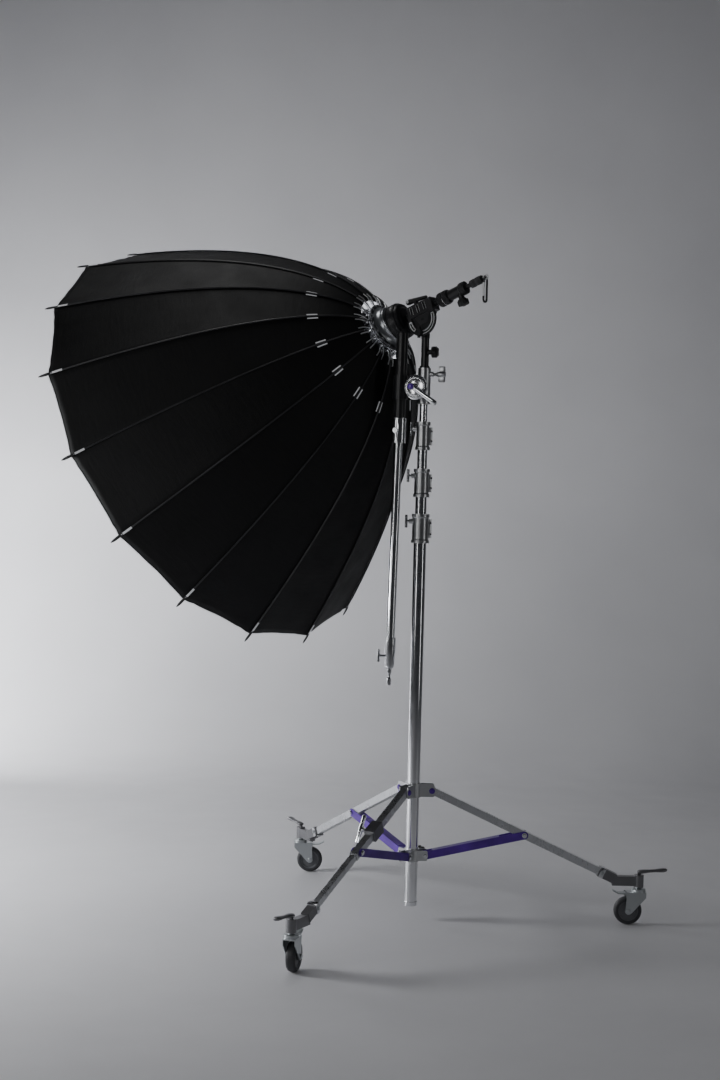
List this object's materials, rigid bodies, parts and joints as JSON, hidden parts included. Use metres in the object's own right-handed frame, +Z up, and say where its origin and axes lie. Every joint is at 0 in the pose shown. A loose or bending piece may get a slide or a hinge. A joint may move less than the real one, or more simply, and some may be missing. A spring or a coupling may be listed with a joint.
{
  "type": "studio softbox",
  "caption": "Deep parabolic softbox on a focusing rod and tilt bracket, on a rolling chrome stand with folding braced legs and a stowed boom arm.",
  "frame": {"origin": "bottom centre of the bounding box, on the floor", "axes": "+Z up; +X to the right of the camera; +Y away from the camera, so that the mouth of the softbox faces -X, +Y and down"},
  "size_m": [2.2912, 2.0854, 2.446],
  "materials": {
    "bright_tube": "bright chrome plate",
    "bright_fitting": "bright chrome plate on a casting",
    "grey_casting": "satin plated casting",
    "zinc_plate": "zinc plate",
    "purple_coat": "purple powder coat",
    "black_paint": "black anodised or painted",
    "black_plastic": "moulded black plastic",
    "bare_aluminium": "machined aluminium",
    "wheel_rubber": "dark grey tread on a plastic core",
    "canopy_cloth": "black satin outside, silver inside",
    "rib_steel": "sprung steel"
  },
  "bodies": {
    "base": {"base_tube": "bright_tube", "base_clamp": "grey_casting", "brace_collar": "grey_casting"},
    "base_handle": {"base_clamp_handle": "bright_fitting"},
    "riser_1": {"riser_1": "bright_tube", "riser_1_clamp": "grey_casting"},
    "riser_1_handle": {"riser_1_clamp_handle": "bright_fitting"},
    "riser_2": {"riser_2": "bright_tube", "riser_2_clamp": "grey_casting"},
    "riser_2_handle": {"riser_2_clamp_handle": "bright_fitting"},
    "riser_3": {"riser_3": "bright_tube", "boom_head": "grey_casting"},
    "receiver_knob": {"receiver_knob": "grey_casting"},
    "boom_clutch": {"boom_clutch": "bright_fitting"},
    "boom_handle": {"boom_handle": "bright_fitting"},
    "boom_arm": {"boom_grip_tube": "black_paint", "boom_tube_clamp": "bright_fitting"},
    "boom_inner": {"boom_inner_tube": "bright_tube", "boom_end_fitting": "bright_fitting"},
    "boom_end_knob": {"boom_end_knob": "bright_fitting"},
    "post": {"bracket_post": "black_paint"},
    "tilt_knob": {"tilt_knob": "black_paint"},
    "post_knob": {"post_knob": "black_plastic"},
    "softbox": {"tilt_block": "bare_aluminium", "rod_sleeve": "black_paint", "dome_and_carrier": "black_paint", "crown_hub": "bare_aluminium", "canopy": "canopy_cloth", "rib_cage": "rib_steel"},
    "rod_lever": {"rod_lever": "black_paint"},
    "sleeve_knob": {"sleeve_knob": "black_plastic"},
    "focus_rod": {"focus_rod": "black_paint", "lamp_mount": "bare_aluminium"},
    "snap_hook": {"snap_hook": "zinc_plate"},
    "hub": {"leg_hub": "grey_casting"},
    "collar_knob": {"collar_knob": "black_plastic"},
    "leveller_handle": {"leveller_handle": "bright_fitting"},
    "front_slide": {"front_leg_slide": "bright_tube", "front_foot_socket": "grey_casting"},
    "right_leg": {"right_leg": "bright_tube", "right_foot_socket": "grey_casting"},
    "right_brace": {"right_brace": "purple_coat"},
    "right_foot_lever": {"right_foot_lever": "grey_casting"},
    "right_fork": {"right_caster_fork": "zinc_plate"},
    "right_wheel": {"right_wheel": "wheel_rubber"},
    "right_pedal": {"right_brake_pedal": "zinc_plate"},
    "rear_leg": {"rear_leg": "bright_tube", "rear_foot_socket": "grey_casting"},
    "rear_brace": {"rear_brace": "purple_coat"},
    "rear_foot_lever": {"rear_foot_lever": "grey_casting"},
    "rear_fork": {"rear_caster_fork": "zinc_plate"},
    "rear_wheel": {"rear_wheel": "wheel_rubber"},
    "rear_pedal": {"rear_brake_pedal": "zinc_plate"},
    "front_leg": {"front_leg": "bright_tube", "leveller_clamp": "grey_casting"},
    "front_brace": {"front_brace": "purple_coat"},
    "front_foot_lever": {"front_foot_lever": "grey_casting"},
    "front_fork": {"front_caster_fork": "zinc_plate"},
    "front_wheel": {"front_wheel": "wheel_rubber"},
    "front_pedal": {"front_brake_pedal": "zinc_plate"}
  },
  "joints": [
    {"name": "base_handle_turn", "type": "hinge", "parent": "base", "child": "base_handle", "pos_m": [0.20852, -0.22065, 1.4225], "axis": [-1, 0, 0], "range_deg": [0, 180]},
    {"name": "riser_1_slide", "type": "slide", "parent": "base", "child": "riser_1", "axis": [0, 0, 1], "range_m": [-0.055, 0.9]},
    {"name": "riser_1_handle_turn", "type": "hinge", "parent": "riser_1", "child": "riser_1_handle", "pos_m": [0.21102, -0.22065, 1.584], "axis": [-1, 0, 0], "range_deg": [0, 180]},
    {"name": "riser_2_slide", "type": "slide", "parent": "riser_1", "child": "riser_2", "axis": [0, 0, 1], "range_m": [-0.06, 0.9]},
    {"name": "riser_2_handle_turn", "type": "hinge", "parent": "riser_2", "child": "riser_2_handle", "pos_m": [0.21502, -0.21682, 1.7505], "axis": [-0.9659, 0.2588, 0], "range_deg": [0, 180]},
    {"name": "riser_3_slide", "type": "slide", "parent": "riser_2", "child": "riser_3", "axis": [0, 0, 1], "range_m": [-0.055, 0.9]},
    {"name": "receiver_knob_turn", "type": "hinge", "parent": "riser_3", "child": "receiver_knob", "pos_m": [0.24379, -0.22373, 1.944], "axis": [0.9781, -0.2079, 0], "range_deg": [0, 180]},
    {"name": "boom_swing", "type": "hinge", "parent": "riser_3", "child": "boom_clutch", "pos_m": [0.22932, -0.22065, 1.893], "axis": [-0.3746, -0.9272, 0], "range_deg": [0, 12]},
    {"name": "boom_handle_turn", "type": "hinge", "parent": "boom_clutch", "child": "boom_handle", "pos_m": [0.1962, -0.30262, 1.893], "axis": [-0.3746, -0.9272, 0], "range_deg": [0, 40]},
    {"name": "boom_arm_slide", "type": "slide", "parent": "boom_clutch", "child": "boom_arm", "axis": [0.0129, -0.0052, 0.9999], "range_m": [-0.12, 0.03]},
    {"name": "boom_inner_slide", "type": "slide", "parent": "boom_arm", "child": "boom_inner", "axis": [0.0129, -0.0052, 0.9999], "range_m": [-0.03, 0.25]},
    {"name": "boom_end_knob_turn", "type": "hinge", "parent": "boom_inner", "child": "boom_end_knob", "pos_m": [0.12294, -0.24659, 0.94315], "axis": [-0.9999, 0, 0.0129], "range_deg": [0, 180]},
    {"name": "head_pan", "type": "hinge", "parent": "riser_3", "child": "post", "pos_m": [0.22932, -0.22065, 0], "axis": [0, 0, 1], "range_deg": [-180, 0]},
    {"name": "post_knob_turn", "type": "hinge", "parent": "post", "child": "post_knob", "pos_m": [0.23897, -0.22453, 2.022], "axis": [0.9278, -0.373, 0], "range_deg": [0, 180]},
    {"name": "tilt_knob_turn", "type": "hinge", "parent": "post", "child": "tilt_knob", "pos_m": [0.22932, -0.22065, 2.089], "axis": [-0.5577, -0.83, 0], "range_deg": [0, 180]},
    {"name": "softbox_tilt", "type": "hinge", "parent": "post", "child": "softbox", "pos_m": [0.22932, -0.22065, 2.137], "axis": [-0.5577, -0.83, 0], "range_deg": [-50, 6]},
    {"name": "rod_lever_turn", "type": "hinge", "parent": "softbox", "child": "rod_lever", "pos_m": [0.19618, -0.19838, 2.18895], "axis": [-0.3055, 0.2053, 0.9298], "range_deg": [0, 35]},
    {"name": "sleeve_knob_turn", "type": "hinge", "parent": "softbox", "child": "sleeve_knob", "pos_m": [0.34619, -0.29919, 2.22415], "axis": [0.3055, -0.2053, -0.9298], "range_deg": [0, 180]},
    {"name": "focus_slide", "type": "slide", "parent": "softbox", "child": "focus_rod", "axis": [0.7717, -0.5186, 0.3681], "range_m": [-0.01, 0.18]},
    {"name": "hook_swing", "type": "hinge", "parent": "focus_rod", "child": "snap_hook", "pos_m": [0.4307, -0.35598, 2.27393], "axis": [0.5577, 0.83, 0], "range_deg": [-25, 15]},
    {"name": "right_leg_fold", "type": "hinge", "parent": "hub", "child": "right_leg", "pos_m": [0.29523, -0.2172, 0.46501], "axis": [-0.0523, 0.9986, 0], "range_deg": [0, 55]},
    {"name": "hub_slide", "type": "slide", "parent": "base", "child": "hub", "axis": [0, 0, 1], "range_m": [0, 0.4812]},
    {"name": "rear_leg_fold", "type": "hinge", "parent": "hub", "child": "rear_leg", "pos_m": [0.19337, -0.1653, 0.46501], "axis": [-0.8387, -0.5446, 0], "range_deg": [0, 55.5]},
    {"name": "front_leg_fold", "type": "hinge", "parent": "hub", "child": "front_leg", "pos_m": [0.19935, -0.27946, 0.46501], "axis": [0.891, -0.454, 0], "range_deg": [0, 55.5]},
    {"name": "right_brace_fold", "type": "hinge", "parent": "base", "child": "right_brace", "pos_m": [0.27725, -0.21814, 0.23252], "axis": [0.0523, -0.9986, 0], "range_deg": [0, 64.05]},
    {"name": "rear_brace_fold", "type": "hinge", "parent": "base", "child": "rear_brace", "pos_m": [0.20317, -0.1804, 0.23252], "axis": [0.8387, 0.5446, 0], "range_deg": [0, 64.05]},
    {"name": "front_brace_fold", "type": "hinge", "parent": "base", "child": "front_brace", "pos_m": [0.20752, -0.26342, 0.23252], "axis": [-0.891, 0.454, 0], "range_deg": [0, 64.05]},
    {"name": "collar_knob_turn", "type": "hinge", "parent": "base", "child": "collar_knob", "pos_m": [0.24201, -0.20111, 0.24052], "axis": [0.5446, 0.8387, 0], "range_deg": [0, 180]},
    {"name": "leveller_handle_turn", "type": "hinge", "parent": "front_leg", "child": "leveller_handle", "pos_m": [0.08667, -0.47021, 0.36424], "axis": [-0.891, 0.454, 0], "range_deg": [0, 180]},
    {"name": "front_leg_slide", "type": "slide", "parent": "front_leg", "child": "front_slide", "axis": [-0.4131, -0.8108, -0.4147], "range_m": [0, 0.12]},
    {"name": "right_foot_lever_lift", "type": "hinge", "parent": "right_leg", "child": "right_foot_lever", "pos_m": [1.04519, -0.17789, 0.188], "axis": [0.0523, -0.9986, 0], "range_deg": [0, 70]},
    {"name": "right_caster_swivel", "type": "hinge", "parent": "right_leg", "child": "right_fork", "pos_m": [1.04519, -0.17789, 0], "axis": [0, 0, 1], "continuous": true},
    {"name": "right_wheel_roll", "type": "hinge", "parent": "right_fork", "child": "right_wheel", "pos_m": [1.00728, -0.18055, 0.05], "axis": [0.0698, -0.9976, 0], "continuous": true},
    {"name": "right_brake_press", "type": "hinge", "parent": "right_fork", "child": "right_pedal", "pos_m": [0.99691, -0.18127, 0.111], "axis": [0.0698, -0.9976, 0], "range_deg": [0, 12]},
    {"name": "rear_foot_lever_lift", "type": "hinge", "parent": "rear_leg", "child": "rear_foot_lever", "pos_m": [-0.21565, 0.46453, 0.188], "axis": [0.8387, 0.5446, 0], "range_deg": [0, 70]},
    {"name": "rear_caster_swivel", "type": "hinge", "parent": "rear_leg", "child": "rear_fork", "pos_m": [-0.21565, 0.46453, 0], "axis": [0, 0, 1], "continuous": true},
    {"name": "rear_wheel_roll", "type": "hinge", "parent": "rear_fork", "child": "rear_wheel", "pos_m": [-0.17774, 0.46719, 0.05], "axis": [-0.0698, 0.9976, 0], "continuous": true},
    {"name": "rear_brake_press", "type": "hinge", "parent": "rear_fork", "child": "rear_pedal", "pos_m": [-0.16737, 0.46791, 0.111], "axis": [-0.0698, 0.9976, 0], "range_deg": [0, 12]},
    {"name": "front_foot_lever_lift", "type": "hinge", "parent": "front_slide", "child": "front_foot_lever", "pos_m": [-0.14159, -0.9486, 0.188], "axis": [-0.891, 0.454, 0], "range_deg": [0, 70]},
    {"name": "front_caster_swivel", "type": "hinge", "parent": "front_slide", "child": "front_fork", "pos_m": [-0.14159, -0.9486, 0], "axis": [0, 0, 1], "continuous": true},
    {"name": "front_wheel_roll", "type": "hinge", "parent": "front_fork", "child": "front_wheel", "pos_m": [-0.13369, -0.91143, 0.05], "axis": [-0.9781, 0.2079, 0], "continuous": true},
    {"name": "front_brake_press", "type": "hinge", "parent": "front_fork", "child": "front_pedal", "pos_m": [-0.13153, -0.90126, 0.111], "axis": [-0.9781, 0.2079, 0], "range_deg": [0, 12]}
  ],
  "couplings": [
    {"joint": "hub_slide", "follows": "right_leg_fold", "m_per_rad": 0.49924},
    {"joint": "rear_leg_fold", "follows": "right_leg_fold", "ratio": 1},
    {"joint": "front_leg_fold", "follows": "right_leg_fold", "ratio": 1},
    {"joint": "right_brace_fold", "follows": "right_leg_fold", "ratio": 1.1554},
    {"joint": "rear_brace_fold", "follows": "right_leg_fold", "ratio": 1.1554},
    {"joint": "front_brace_fold", "follows": "right_leg_fold", "ratio": 1.1554}
  ]
}
